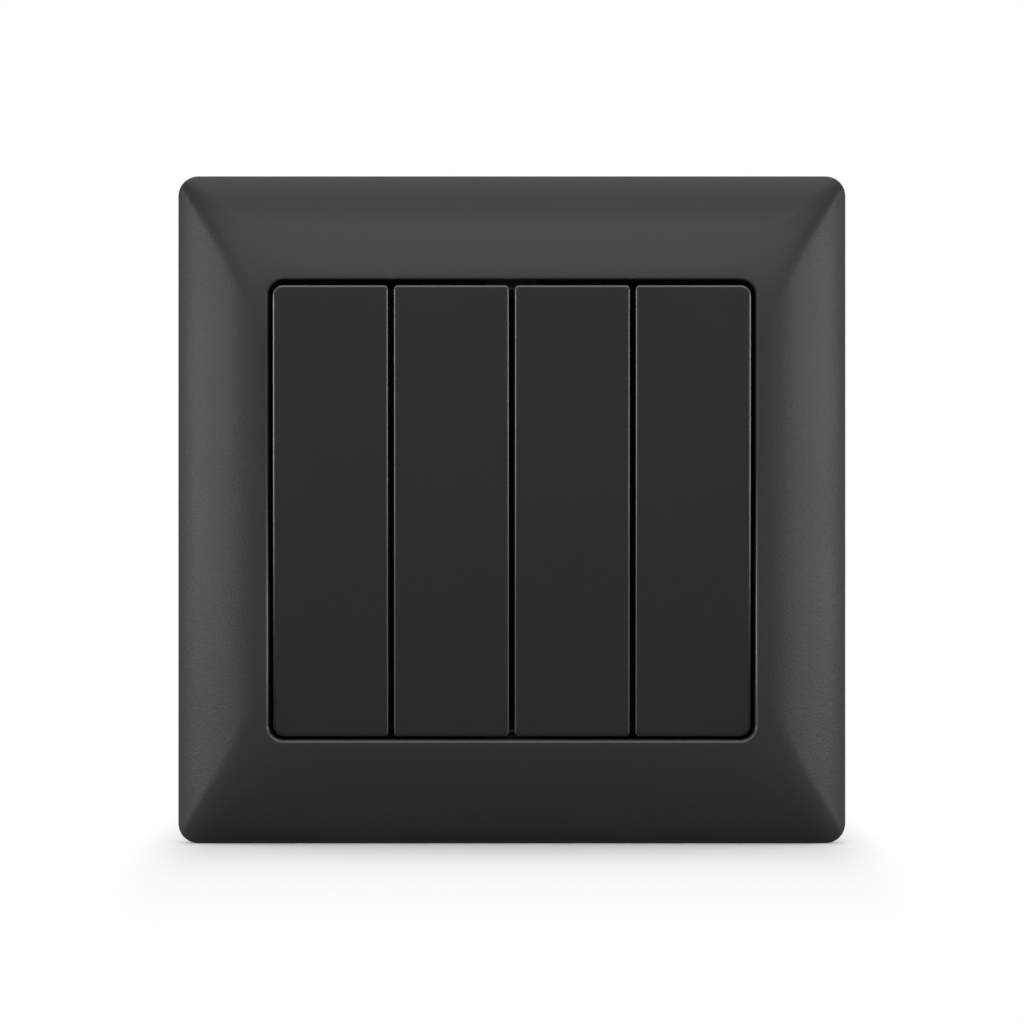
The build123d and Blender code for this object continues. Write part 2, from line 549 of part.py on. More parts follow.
def make_base_housing():
    """The moulded base: contact chambers from the front, terminal pockets from the back."""
    base = slab(base_outline(), LID_THICKNESS, BASE_BACK_Y)
    base -= block(0, 0, BASE_WIDTH, CHAMBER_HEIGHT, BASE_MIDDLE_Y, BASE_BACK_Y)
    for x in GANG_X:
        base -= block(x, 0, CHAMBER_WIDTH, CHAMBER_HEIGHT, LID_THICKNESS, STRIP_BACK_Y)
        stop_front = closed_depth(CONTACT_OFFSET + STOP_WIDTH / 2, ARM_THICKNESS - ARM_FACE) + STOP
        base += block(x, CONTACT_OFFSET, CHAMBER_WIDTH, STOP_WIDTH, stop_front, STRIP_BACK_Y)
    for x, z in TERMINALS:
        side = math.copysign(1, z)
        pocket_z = side * (POCKET_Z + POCKET_LENGTH / 2)
        base -= block(x, pocket_z, POCKET_WIDTH, POCKET_LENGTH, STRIP_FRONT_Y, BASE_BACK_Y)
        core_length = POCKET_LENGTH - BASE_WALL
        core_z = side * (POCKET_Z + core_length / 2)
        core_back = STRIP_FRONT_Y - POCKET_FLOOR
        base -= block(x, core_z, POCKET_WIDTH, core_length, LID_THICKNESS, core_back)
        screw_room = 2 * (TERMINAL_SCREW_RADIUS + SEAT)
        base -= block(x, z, screw_room, screw_room, core_back, STRIP_FRONT_Y)
    for outline in [load_outline(i) for i in range(GANGS)] + [bus_outline()]:
        base -= slab(offset(outline, SEAT, kind=Kind.INTERSECTION), STRIP_FRONT_Y - SEAT, STRIP_BACK_Y)
    hole_back = LID_THICKNESS + ASSEMBLY_LENGTH + SEAT
    return base - round_holes(ASSEMBLY_PLACES, ASSEMBLY_RADIUS + RUN, LID_THICKNESS, hole_back)


def make_assembly_screws():
    """The screws from the carrier into the base."""
    screws = []
    for x, z in ASSEMBLY_PLACES:
        seat_y = CARRIER_FRONT_Y + ASSEMBLY_HEAD_HEIGHT
        screw = disc(x, z, ASSEMBLY_HEAD_RADIUS, CARRIER_FRONT_Y, seat_y)
        screw += disc(x, z, ASSEMBLY_RADIUS, seat_y, LID_THICKNESS + ASSEMBLY_LENGTH)
        screws.append(screw)
    return screws


def main():
    """Makes every piece and writes one STEP file for each node."""
    nodes = {
        "cover_frame": make_cover_frame(),
        "support_plate": make_support_plate(),
        "rocker_carrier": make_carrier(),
        "inner_lid": make_inner_lid(),
        "base_housing": make_base_housing(),
        "common_bus": make_common_bus(),
        "fixed_contacts": make_fixed_contacts(),
        "terminal_clamps": make_terminal_clamps(),
        "terminal_screws": make_terminal_screws(),
        "assembly_screws": make_assembly_screws(),
    }
    for i in range(GANGS):
        nodes[f"key_{i + 1}"] = make_key(i)
        nodes[f"rocker_{i + 1}"] = make_rocker(i)
        nodes[f"plunger_{i + 1}"] = make_plunger(i)
        nodes[f"plunger_spring_{i + 1}"] = make_spring(i)
        nodes[f"contact_arm_{i + 1}"] = make_contact_arm(i)
        nodes[f"contact_tip_{i + 1}"] = make_contact_tip(i)
        nodes[f"load_strip_{i + 1}"] = make_load_strip(i)
    os.makedirs("parts", exist_ok=True)
    for name, shape in nodes.items():
        solids = shape if isinstance(shape, list) else [shape]
        export_step(Compound([s for part in solids for s in part.solids()]), f"parts/{name}.step")


main()
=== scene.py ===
import json
import math

import bmesh
import bpy
from bpy.props import FloatProperty, FloatVectorProperty, IntProperty, PointerProperty
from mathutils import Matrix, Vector


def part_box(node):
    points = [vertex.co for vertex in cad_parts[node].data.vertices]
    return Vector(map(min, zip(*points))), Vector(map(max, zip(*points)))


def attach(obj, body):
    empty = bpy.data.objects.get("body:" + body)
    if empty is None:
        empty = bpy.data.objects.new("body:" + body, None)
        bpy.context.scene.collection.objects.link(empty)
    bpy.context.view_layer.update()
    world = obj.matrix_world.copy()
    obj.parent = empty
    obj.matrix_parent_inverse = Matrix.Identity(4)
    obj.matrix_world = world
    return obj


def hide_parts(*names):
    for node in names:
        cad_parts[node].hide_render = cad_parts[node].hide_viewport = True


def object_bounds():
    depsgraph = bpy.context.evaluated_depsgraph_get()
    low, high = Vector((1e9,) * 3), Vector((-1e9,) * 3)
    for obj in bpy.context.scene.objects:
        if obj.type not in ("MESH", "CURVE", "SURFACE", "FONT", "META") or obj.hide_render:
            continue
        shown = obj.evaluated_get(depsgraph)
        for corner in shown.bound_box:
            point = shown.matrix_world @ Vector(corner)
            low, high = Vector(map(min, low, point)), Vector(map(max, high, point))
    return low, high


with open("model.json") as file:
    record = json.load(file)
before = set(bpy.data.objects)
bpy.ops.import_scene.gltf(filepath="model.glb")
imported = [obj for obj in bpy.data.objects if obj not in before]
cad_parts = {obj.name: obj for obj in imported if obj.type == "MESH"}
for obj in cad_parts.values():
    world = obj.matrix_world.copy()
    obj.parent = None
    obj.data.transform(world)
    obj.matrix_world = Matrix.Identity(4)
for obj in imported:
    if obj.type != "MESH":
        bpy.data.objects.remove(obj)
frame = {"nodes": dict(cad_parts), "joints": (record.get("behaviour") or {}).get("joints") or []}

bl_info = {
    "name": "Four-Gang Light Switch",
    "version": (1, 0, 0),
    "blender": (4, 5, 0),
    "location": "View3D > Sidebar > Switch",
    "description": "Dresses the packed light switch and sets up its studio",
    "category": "Object",
}

CAD_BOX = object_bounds()
GANGS = range(1, 5)
MM = 0.001

# Places of a Mix node's colour sockets, which come after those for numbers and vectors
MIX_FIRST = 6
MIX_SECOND = 7
MIX_RESULT = 2

# Moulded finishes: the fine grain, the broad flow marks, the polished edges with their painted highlight, and
# the matt recess
NOISE_ROUGHNESS = 0.55
NOISE_MIDDLE = 0.5
GRAIN_DETAIL = 3.0
GRAIN_MATT = 0.12
FLOW_SIZE = 14 * MM
BROAD_DETAIL = 2.0
FLOW_SHARE = 0.6
FLOW_MATT = 0.08
EDGE_STARTS = 0.06
EDGE_ENDS = 0.3
# How many times lighter the edges' colour is painted, a painted highlight
EDGE_PAINTED_HIGHLIGHT = 5.0
EDGE_GLOSS = 0.12
EDGE_FLATTER = 0.8
EDGE_COAT_ROUGHNESS = 0.16
RECESS_MATT = 0.6

# Metal finishes: the rolled streaks and the cloud of tarnish
STREAK_SIZE = 0.2 * MM
STREAK_DETAIL = 4.0
STREAK_RELIEF = 0.004 * MM
STREAK_MATT = 0.2
CLOUD_SIZE = 6 * MM
CLOUD_DETAIL = 3.0
CLOUD_SHARE = 0.7
CLOUD_MATT = 0.15

# Fineness of the meshes
MERGE_DISTANCE = 0.0005 * MM
SHARP_ANGLE = 35.0
ARC_STEPS = 14
SIDE_STEPS = 48
EDGE_STEPS = 4
CROWN_STEPS = 36
LIP_STEPS = 7
ROOF_STEPS = 10
RIB_STEPS = 8
HALVINGS = 24
THREAD_SIDES = 20
HEAD_SIDES = 40
COIL_POINTS = 160
WIRE_SIDES = 10

# Power of the curve round the frame's corner ridges, where 2 would be a circle
CORNER_POWER = 2.5

# Screws: thread depth in pitches, tip in root radii, slot depth in head heights, the others in head radii
THREAD_DEPTH = 0.45
TIP_RADIUS = 0.8
SLOT_DEPTH = 0.47
SLOT_LENGTH = 3.0
CROSS_LENGTH = 1.15

# Broken edge of a screw head in head heights, and its round as drops and insets in broken edges
HEAD_BREAK = 0.14
HEAD_ROUND = ((1.6, 0.0), (0.5, 1.1), (0.0, 2.6))

# How far the end turns of a spring are pressed flat, as a share of its rise
FLAT_ENDS = 0.12

# Lamp panels: degrees from straight ahead, distance, and width and height in metres
SIDE_PANEL = (67.5, 0.55, (0.5, 0.16))
FRONT_PANEL = (28.0, 0.6, (0.85, 0.36))
OVERHEAD_PANEL = (85.0, 0.6, (0.85, 0.38))
REAR_PANEL = (128.0, 0.8, (1.6, 0.65))
NEAR_PLACE = (0.0, -0.09, 0.14)
NEAR_SIZE = (0.14, 0.04)

# Floor and camera
WHITE = (1.0, 1.0, 1.0, 1.0)
FLOOR_TONES = ((0.9, 0.9, 0.9, 1.0), (0.92, 0.92, 0.92, 1.0))
FLOOR_ROUGHNESS = 0.9
FLOOR_CLOUD = 0.4
FLOOR_HALF = 3.0
FLOOR_CELLS = 8
FLOOR_INSET = 5 * MM
IMAGE_PIXELS = 1024
SENSOR_WIDTH = 36.0


# Node building

class Tie:
    """A node's output that can stand in a Python sum."""

    def __init__(self, maker, socket):
        self.maker = maker
        self.socket = socket

    def math(self, operation, first, second):
        return self.maker.node("ShaderNodeMath", {"operation": operation}, {0: first, 1: second})

    def __add__(self, other):
        return self.math("ADD", self, other)

    def __radd__(self, other):
        return self.math("ADD", other, self)

    def __sub__(self, other):
        return self.math("SUBTRACT", self, other)

    def __rsub__(self, other):
        return self.math("SUBTRACT", other, self)

    def __mul__(self, other):
        return self.math("MULTIPLY", self, other)

    def __rmul__(self, other):
        return self.math("MULTIPLY", other, self)

    def __truediv__(self, other):
        return self.math("DIVIDE", self, other)

    def __rtruediv__(self, other):
        return self.math("DIVIDE", other, self)

    def __pow__(self, other):
        return self.math("POWER", self, other)

    def __rpow__(self, other):
        return self.math("POWER", other, self)


class Maker:
    """Adds nodes to one tree, settings first and sockets after."""

    def __init__(self, tree):
        self.tree = tree

    def node(self, kind, settings=None, sockets=None, output=0):
        made = self.tree.nodes.new(kind)
        for name, value in (settings or {}).items():
            setattr(made, name, value)
        for key, value in (sockets or {}).items():
            self.feed(made.inputs[key], value)
        return Tie(self, made.outputs[output]) if made.outputs else made

    def feed(self, socket, value):
        """Links a socket to a tie, or to each tie of a list, or sets its value."""
        if isinstance(value, list):
            for one in value:
                self.feed(socket, one)
        elif isinstance(value, Tie):
            self.tree.links.new(value.socket, socket)
        else:
            socket.default_value = value

    def mix(self, share, first, second):
        """A colour between two."""
        sockets = {0: share, MIX_FIRST: first, MIX_SECOND: second}
        return self.node("ShaderNodeMix", {"data_type": "RGBA"}, sockets, MIX_RESULT)


# Finishes

def shade(colour, factor):
    """A colour made lighter or darker."""
    return tuple(min(1.0, channel * factor) for channel in colour[:3]) + (1.0,)


def new_finish(name):
    """A material with one Principled shader, the maker of its nodes and the shader's sockets."""
    material = bpy.data.materials.new(name)
    material.use_nodes = True
    maker = Maker(material.node_tree)
    shader = next(n for n in maker.tree.nodes if n.type == "BSDF_PRINCIPLED")
    return material, maker, shader.inputs


def object_noise(maker, grain, detail, stretch=(1.0, 1.0, 1.0)):
    """Noise on Object coordinates, its grain a length in metres."""
    place = maker.node("ShaderNodeTexCoord", output="Object")
    scaled = maker.node("ShaderNodeMapping", {}, {"Vector": place, "Scale": stretch})
    sockets = {"Vector": scaled, "Scale": 1.0 / grain, "Detail": detail, "Roughness": NOISE_ROUGHNESS}
    return maker.node("ShaderNodeTexNoise", {}, sockets)


def ease(maker, value, start, end):
    """0 below the start, 1 beyond the end, and smooth between."""
    sockets = {"Value": value, "From Min": start, "From Max": end}
    return maker.node("ShaderNodeMapRange", {"interpolation_type": "SMOOTHSTEP"}, sockets)


def axes(maker, output):
    """X, Y and Z of a texture coordinate."""
    place = maker.node("ShaderNodeTexCoord", output=output)
    return [maker.node("ShaderNodeSeparateXYZ", {}, {0: place}, axis) for axis in "XYZ"]


def size_of(maker, value):
    """A value without its sign."""
    return maker.node("ShaderNodeMath", {"operation": "ABSOLUTE"}, {0: value})


def larger(maker, first, second):
    """The larger of two values."""
    return maker.node("ShaderNodeMath", {"operation": "MAXIMUM"}, {0: first, 1: second})


def key_edges(maker):
    """The polished edges and sides of a key, which turn away from the room and get a painted highlight. It
    has no matt recess.
    """
    facing = size_of(maker, axes(maker, "Normal")[1])
    return ease(maker, 1 - facing, EDGE_STARTS, EDGE_ENDS), 0.0


def lip_edge(maker):
    """The polished lip of the cover frame round the keys, whose colour gets a painted highlight, and the matt
    walls behind it.
    """
    marks = ("lip", "recess")
    return [maker.node("ShaderNodeAttribute", {"attribute_name": mark}, {}, "Fac") for mark in marks]


def moulded(name, colour, roughness, grain, relief, specular=0.5, mottle=0.12, edges=None, gloss_and_painted_highlight=0.0):
    """A moulded plastic with an eroded grain over faint flow marks, smoother on its polished edges, whose
    colour is painted lighter as a highlight.
    """
    material, maker, sockets = new_finish(name)
    fine = object_noise(maker, grain, GRAIN_DETAIL)
    flow = object_noise(maker, FLOW_SIZE, BROAD_DETAIL)
    tone = flow * FLOW_SHARE + fine * (1 - FLOW_SHARE)
    base = maker.mix(tone, shade(colour, 1 - mottle), shade(colour, 1 + mottle))
    matt = roughness + (fine - NOISE_MIDDLE) * GRAIN_MATT + (flow - NOISE_MIDDLE) * FLOW_MATT
    strength = 1.0
    if edges:
        edge, recess = edges(maker)
        matt = matt - edge * EDGE_GLOSS + recess * RECESS_MATT
        strength = 1 - edge * EDGE_FLATTER
        # Painted highlight: the edges' colour is mixed toward a much lighter black, besides their real coat
        # of gloss
        base = maker.mix(edge * gloss_and_painted_highlight, base, shade(colour, EDGE_PAINTED_HIGHLIGHT))
        maker.feed(sockets["Coat Weight"], edge * gloss_and_painted_highlight)
        sockets["Coat Roughness"].default_value = EDGE_COAT_ROUGHNESS
    maker.feed(sockets["Base Color"], base)
    maker.feed(sockets["Roughness"], matt)
    heights = {"Strength": strength, "Distance": relief, "Height": fine}
    maker.feed(sockets["Normal"], maker.node("ShaderNodeBump", {}, heights))
    sockets["Specular IOR Level"].default_value = specular
    return material


def rolled_metal(name, colour, roughness, streak=(1.0, 1.0, 1.0), tarnish=0.2):
    """A metal with drawn or rolled streaks and a faint cloud of tarnish."""
    material, maker, sockets = new_finish(name)
    lines = object_noise(maker, STREAK_SIZE, STREAK_DETAIL, streak)
    cloud = object_noise(maker, CLOUD_SIZE, CLOUD_DETAIL)
    tone = cloud * CLOUD_SHARE + lines * (1 - CLOUD_SHARE)
    base = maker.mix(tone, shade(colour, 1 - tarnish), shade(colour, 1 + tarnish / 2))
    matt = roughness + (lines - NOISE_MIDDLE) * STREAK_MATT + (cloud - NOISE_MIDDLE) * CLOUD_MATT
    maker.feed(sockets["Base Color"], base)
    maker.feed(sockets["Roughness"], matt)
    heights = {"Strength": 1.0, "Distance": STREAK_RELIEF, "Height": lines}
    maker.feed(sockets["Normal"], maker.node("ShaderNodeBump", {}, heights))
    sockets["Metallic"].default_value = 1.0
    return material


def dress(material, *nodes):
    """Gives CAD nodes their finish."""
    for name in nodes:
        node = frame["nodes"][name]
        node.data.materials.clear()
        node.data.materials.append(material)


# Meshes

def smooth(mesh):
    """Merges doubles, turns the faces outwards and smooths all but sharp edges."""
    bm = bmesh.new()
    bm.from_mesh(mesh)
    bmesh.ops.remove_doubles(bm, verts=bm.verts, dist=MERGE_DISTANCE)
    bmesh.ops.recalc_face_normals(bm, faces=bm.faces)
    bm.to_mesh(mesh)
    bm.free()
    mesh.shade_smooth()
    mesh.set_sharp_from_angle(angle=math.radians(SHARP_ANGLE))


def place_piece(piece, body, slot, *nodes):
    """Ties a finished piece to its body and hides the nodes that it stands for. Its slot is not used."""
    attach(piece, body)
    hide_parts(*nodes)


def solids_of(node):
    """The lowest and highest corner of each separate solid of a node, in the node's order."""
    bm = bmesh.new()
    bm.from_mesh(frame["nodes"][node].data)
    bmesh.ops.remove_doubles(bm, verts=bm.verts, dist=MERGE_DISTANCE)
    left = set(bm.verts)
    boxes = []
    for start in bm.verts:
        if start not in left:
            continue
        left.discard(start)
        reached, queue = [], [start]
        while queue:
            vert = queue.pop()
            reached.append(vert.co.copy())
            for edge in vert.link_edges:
                other = edge.other_vert(vert)
                if other in left:
                    left.discard(other)
                    queue.append(other)
        low = Vector([min(p[k] for p in reached) for k in range(3)])
        high = Vector([max(p[k] for p in reached) for k in range(3)])
        boxes.append((low, high))
    bm.free()
    return boxes


def quarter_turns(x, z, turns):
    """A place turned about the middle of the switch by some quarters of a turn."""
    for _ in range(turns):
        x, z = -z, x
    return x, z


# Crowned frame

def beyond(x, z, half_x, half_z, corner):
    """Above 0 for a place outside a rectangle whose corners ease into its sides, and below 0 inside."""
    dx, dz = abs(x) - half_x + corner, abs(z) - half_z + corner
    reach = (max(dx, 0.0) ** CORNER_POWER + max(dz, 0.0) ** CORNER_POWER) ** (1 / CORNER_POWER)
    return reach + min(max(dx, dz), 0.0) - corner


def rounded_loop(half_x, half_z, corner):
    """Places round a rectangle with round corners, closest together next to the corners."""
    places = []
    for turns in range(4):
        wide, tall = (half_x, half_z) if turns % 2 == 0 else (half_z, half_x)
        quarter = []
        for k in range(ARC_STEPS):
            angle = math.pi / 2 * k / ARC_STEPS
            x = wide - corner + corner * math.cos(angle)
            z = tall - corner + corner * math.sin(angle)
            quarter.append((x, z))
        for k in range(SIDE_STEPS):
            share = math.cos(math.pi * k / SIDE_STEPS)
            quarter.append((share * (wide - corner), tall))
        places += [quarter_turns(x, z, turns) for x, z in quarter]
    return places


class Crown:
    """The crowned face of the cover frame, as a height over the wall."""

    def __init__(self, size):
        self.size = size

    def outline(self, share, inset):
        """Half width, half height and corner of the level line at a share of the way from edge to lip."""
        size = self.size
        half_x = size.half + share * (size.opening_x - size.half) - inset
        half_z = size.half + share * (size.opening_z - size.half) - inset
        corner = size.ridge_edge + share ** size.ridge_growth * (size.ridge_lip - size.ridge_edge)
        return half_x, half_z, corner

    def level(self, share):
        """Height at a share of the way, on an arc from the steep slope to the flat one."""
        size = self.size
        steep, flat = size.slope_edge, size.slope_lip
        slope = math.asin(math.sin(steep) - share * (math.sin(steep) - math.sin(flat)))
        rise = (math.cos(slope) - math.cos(steep)) / (math.cos(flat) - math.cos(steep))
        return size.edge + rise * (size.lip - size.edge)

    def height(self, x, z, inset=0.0):
        """Height of the face over a place, or of the roof that lies inset from it."""
        low, high = 0.0, 1.0
        for _ in range(HALVINGS):
            middle = (low + high) / 2
            if beyond(x, z, *self.outline(middle, inset)) < 0:
                low = middle
            else:
                high = middle
        return self.level(low) - inset


def frame_rings(size):
    """Closed rings in order round the section of the frame: places, heights, lip and recess marks."""
    crown = Crown(size)
    rings = []

    def add(outline, heights, lip=0.0, recess=0.0):
        places = rounded_loop(*outline)
        tall = [heights] * len(places) if isinstance(heights, float) else heights
        rings.append((places, tall, lip, recess))

    def over(outline, inset=0.0):
        return [crown.height(x, z, inset) for x, z in rounded_loop(*outline)]

    def grown(reach):
        return size.opening_x + reach, size.opening_z + reach, size.opening_corner + reach

    def shrunk(inset):
        return size.half - inset, size.half - inset, size.corner - inset

    def between(first, last, share):
        return [a + share * (b - a) for a, b in zip(first, last)]

    add(shrunk(0.0), 0.0)
    edge_end = math.pi / 2 - size.slope_edge
    edge = shrunk(size.edge_round * (1 - math.cos(edge_end)))
    heights = over(edge)
    for k in range(EDGE_STEPS):
        turn = edge_end * k / EDGE_STEPS
        drop = size.edge_round * (math.sin(edge_end) - math.sin(turn))
        add(shrunk(size.edge_round * (1 - math.cos(turn))), [h - drop for h in heights])

    lip_end = math.pi / 2 + size.slope_lip
    lip = grown(size.lip_round * (1 - math.cos(lip_end)))
    for k in range(CROWN_STEPS + 1):
        outline = between(edge, lip, k / CROWN_STEPS)
        add(outline, over(outline))

    heights = over(lip)
    for k in range(1, LIP_STEPS + 1):
        turn = lip_end * (1 - k / LIP_STEPS)
        drop = size.lip_round * (math.sin(lip_end) - math.sin(turn))
        on_lip, in_recess = float(k < LIP_STEPS - 1), float(k == LIP_STEPS)
        outline = grown(size.lip_round * (1 - math.cos(turn)))
        add(outline, [h - drop for h in heights], on_lip, in_recess)
    add(grown(0.0), size.skirt_back, 0.0, 1.0)

    skirt = grown(size.skirt)
    wall = (size.half - size.wall, size.half - size.wall, size.corner)
    add(skirt, size.skirt_back)
    for k in range(ROOF_STEPS + 1):
        outline = between(skirt, wall, k / ROOF_STEPS)
        add(outline, over(outline, size.wall))
    add(wall, 0.0)
    return rings


def add_block(bm, low, high):
    """A closed block between two corners."""
    middle = [(a + b) / 2 for a, b in zip(low, high)]
    spread = [b - a for a, b in zip(low, high)]
    for vert in bmesh.ops.create_cube(bm, size=1.0)["verts"]:
        vert.co = Vector([m + s * c for m, s, c in zip(middle, spread, vert.co)])


def add_ribs(bm, size):
    """Ribs across the hollow of the frame, let into its skirt, roof and wall."""
    crown = Crown(size)
    for turns in range(4):
        start = (size.opening_z if turns % 2 == 0 else size.opening_x) + size.skirt / 2
        end = size.half - size.wall / 2
        for middle in (-size.rib_spacing / 2, size.rib_spacing / 2):
            rows = []
            for k in range(RIB_STEPS + 1):
                reach = start + (end - start) * k / RIB_STEPS
                corners = []
                for side, top in ((-1, False), (1, False), (1, True), (-1, True)):
                    x, z = quarter_turns(middle + side * size.rib / 2, reach, turns)
                    tall = crown.height(x, z) - size.wall / 2 if top else size.skirt_back
                    corners.append(bm.verts.new((x, -tall, z)))
                rows.append(corners)
            for first, second in zip(rows, rows[1:]):
                for k in range(len(first)):
                    bm.faces.new((first[k], first[k - 1], second[k - 1], second[k]))
            bm.faces.new(rows[0])
            bm.faces.new(rows[-1])


def add_hooks(bm, size):
    """Hooks that grip the carrier, each a leg with a tooth."""
    outer = size.opening_x + size.skirt
    half = size.hook_length / 2
    legs = (size.hook_leg, size.skirt_back + size.skirt), (size.hook_tooth, size.hook_front)
    for side in (-1, 1):
        for z in (-size.hook_spacing / 2, size.hook_spacing / 2):
            for reach, front in legs:
                xs = sorted((side * outer, side * (outer - reach)))
                add_block(bm, (xs[0], -front, z - half), (xs[1], -size.hook_back, z + half))


def add_tabs(bm, size):
    """Tabs above and below the keys that hide the box screws."""
    outer = size.opening_z + size.skirt
    half = size.tab_width / 2
    for side in (-1, 1):
        zs = sorted((side * outer, side * (outer - size.tab_reach)))
        add_block(bm, (-half, -size.tab_front, zs[0]), (half, -size.tab_back, zs[1]))


def crowned_frame(size, material):
    """The cover frame as one shell of rings, with its ribs, hooks and tabs, and marks of lip and recess."""
    bm = bmesh.new()
    marks = [bm.verts.layers.float.new(name) for name in ("lip", "recess")]
    rows = []
    for places, heights, *values in frame_rings(size):
        row = [bm.verts.new((x, -height, z)) for (x, z), height in zip(places, heights)]
        for vert in row:
            for mark, value in zip(marks, values):
                vert[mark] = value
        rows.append(row)
    for first, second in zip(rows, rows[1:] + rows[:1]):
        for k in range(len(first)):
            bm.faces.new((first[k - 1], first[k], second[k], second[k - 1]))
    shell = len(bm.verts)
    add_ribs(bm, size)
    add_hooks(bm, size)
    add_tabs(bm, size)
    for vert in list(bm.verts)[shell:]:
        vert[marks[1]] = 1.0
    mesh = bpy.data.meshes.new("cover_frame_crowned")
    bm.to_mesh(mesh)
    bm.free()
    smooth(mesh)
    mesh.materials.append(material)
    piece = bpy.data.objects.new("cover_frame_crowned", mesh)
    bpy.context.scene.collection.objects.link(piece)
    place_piece(piece, "mechanism", "frame_black", "cover_frame")


# Geometry Nodes

def new_shape(name, sizes):
    """A tree with a named input for each size. Gives the tree, its maker and the inputs."""
    tree = bpy.data.node_groups.new(name, "GeometryNodeTree")
    tree.interface.new_socket("Points", in_out="INPUT", socket_type="NodeSocketGeometry")
    tree.interface.new_socket("Geometry", in_out="OUTPUT", socket_type="NodeSocketGeometry")
    for label in sizes:
        tree.interface.new_socket(label, in_out="INPUT", socket_type="NodeSocketFloat")
    maker = Maker(tree)
    return tree, maker, {label: maker.node("NodeGroupInput", output=label) for label in ("Points", *sizes)}


def end_shape(maker, size, shape, material):
    """Sets a shape on each point, turned about X, and ends the tree in plain geometry with its material."""
    way = maker.node("ShaderNodeCombineXYZ", {}, {"X": size["Turn X"]})
    spread = {"Points": size["Points"], "Instance": shape, "Rotation": way}
    spread = maker.node("GeometryNodeInstanceOnPoints", {}, spread)
    whole = maker.node("GeometryNodeRealizeInstances", {}, {"Geometry": spread})
    dressed = maker.node("GeometryNodeSetMaterial", {}, {"Geometry": whole, "Material": material})
    maker.node("NodeGroupOutput", {}, {0: dressed})


def grow(name, tree, sizes, points):
    """Runs a tree on some points and keeps what it makes as a plain mesh."""
    seeds = bpy.data.meshes.new(name + "_points")
    seeds.from_pydata(points, [], [])
    piece = bpy.data.objects.new(name, seeds)
    modifier = piece.modifiers.new("shape", "NODES")
    modifier.node_group = tree
    for item in tree.interface.items_tree:
        if item.in_out == "INPUT" and item.name in sizes:
            modifier[item.identifier] = sizes[item.name]
    bpy.context.scene.collection.objects.link(piece)
    ready = piece.evaluated_get(bpy.context.evaluated_depsgraph_get())
    mesh = bpy.data.meshes.new_from_object(ready)
    piece.modifiers.remove(modifier)
    piece.data = mesh
    mesh.name = name
    bpy.data.meshes.remove(seeds)
    smooth(mesh)
    if not mesh.polygons:
        raise RuntimeError(name + " came out empty")
    return piece


def lifted(maker, geometry, height):
    """Geometry moved up its own axis."""
    offset = maker.node("ShaderNodeCombineXYZ", {}, {"Z": height})
    return maker.node("GeometryNodeTransform", {}, {"Geometry": geometry, "Translation": offset})


def turned(maker, rings, sides):
    """A closed turned body through rings of a height and a radius, from the lowest up."""
    parts = []
    for (low, wide), (high, narrow) in zip(rings, rings[1:]):
        sockets = {"Vertices": sides, "Radius Bottom": wide, "Radius Top": narrow, "Depth": high - low}
        parts.append(lifted(maker, maker.node("GeometryNodeMeshCone", {"fill_type": "NONE"}, sockets), low))
    for (height, radius), flip in ((rings[0], True), (rings[-1], False)):
        sockets = {"Vertices": sides, "Radius": radius}
        disc = maker.node("GeometryNodeMeshCircle", {"fill_type": "NGON"}, sockets)
        disc = maker.node("GeometryNodeFlipFaces", {}, {"Mesh": disc}) if flip else disc
        parts.append(lifted(maker, disc, height))
    joined = maker.node("GeometryNodeJoinGeometry", {}, {"Geometry": parts})
    return maker.node("GeometryNodeMergeByDistance", {}, {"Geometry": joined, "Distance": MERGE_DISTANCE})


def thread_rings(size, turns):
    """Rings of a shank whose thread is a row of ridges, one to a turn."""
    length, radius = size["Length"], size["Radius"]
    pitch = length / (turns + 1.0)
    root = radius - pitch * THREAD_DEPTH
    rings = [(0.0, root * TIP_RADIUS), (pitch * 0.5, root)]
    for turn in range(turns):
        rings += [(pitch * (turn + 1.0), radius), (pitch * (turn + 1.5), root)]
    return rings + [(length, root)]


def head_rings(size, top):
    """Rings of a screw head with a broken lower edge and a round upper one."""
    length, radius = size["Length"], size["Head Radius"]
    broken = size["Head Height"] * HEAD_BREAK
    rings = [(length, radius - broken), (length + broken, radius)]
    return rings + [(top - broken * drop, radius - broken * inset) for drop, inset in HEAD_ROUND]


def slot_bars(maker, size, top):
    """The bars that cut the slot and the short cross slot, half sunk in the head."""
    long_slot = (size["Head Radius"] * SLOT_LENGTH, size["Slot Width"])
    cross_slot = (size["Slot Width"], size["Cross Length"])
    bars = []
    for along, across in (long_slot, cross_slot):
        sides = {"X": along, "Y": across, "Z": size["Slot Depth"] * 2.0}
        sides = maker.node("ShaderNodeCombineXYZ", {}, sides)
        bars.append(lifted(maker, maker.node("GeometryNodeMeshCube", {}, {"Size": sides}), top))
    return bars


def screw_shape(name, material, turns):
    """A slotted screw along +Z from its tip, with a ringed thread of some turns."""
    sizes = ("Length", "Radius", "Head Radius", "Head Height",
             "Slot Width", "Slot Depth", "Cross Length", "Turn X")
    tree, maker, size = new_shape(name, sizes)
    top = size["Length"] + size["Head Height"]
    shank = turned(maker, thread_rings(size, turns), THREAD_SIDES)
    head = turned(maker, head_rings(size, top), HEAD_SIDES)
    slotted = {"Mesh 1": head, "Mesh 2": slot_bars(maker, size, top)}
    head = maker.node("GeometryNodeMeshBoolean", {"operation": "DIFFERENCE", "solver": "EXACT"}, slotted)
    screw = maker.node("GeometryNodeJoinGeometry", {}, {"Geometry": [shank, head]})
    end_shape(maker, size, screw, material)
    return tree


